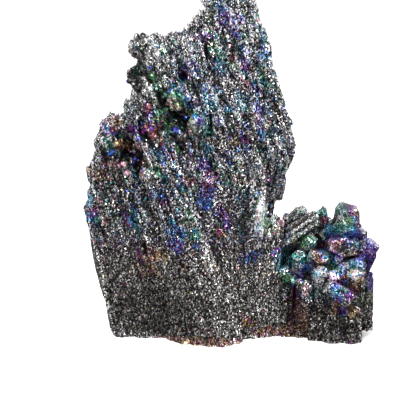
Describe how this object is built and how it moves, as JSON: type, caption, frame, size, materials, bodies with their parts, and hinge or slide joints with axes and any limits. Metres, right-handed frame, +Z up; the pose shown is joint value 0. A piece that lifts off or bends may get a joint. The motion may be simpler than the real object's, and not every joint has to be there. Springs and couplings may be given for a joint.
{
  "type": "moissanite crystal cluster",
  "caption": "Grown lump of dark silicon carbide crystals: a tall leaning slab of fused columns beside a low block of stubby crystals, resting flat on its broken base.",
  "frame": {"origin": "middle of the object's box, on the plane of the flat base", "axes": "+Z up from the base, +X to the right along the wide face, where the low block is, +Y from the front face to the back"},
  "size_m": [0.0988, 0.0418, 0.1218],
  "materials": {
    "silicon_carbide": "half-metallic dark grey crystal faces with a rainbow tarnish"
  },
  "bodies": {
    "root": {"crystal_cluster": "silicon_carbide"}
  },
  "joints": []
}
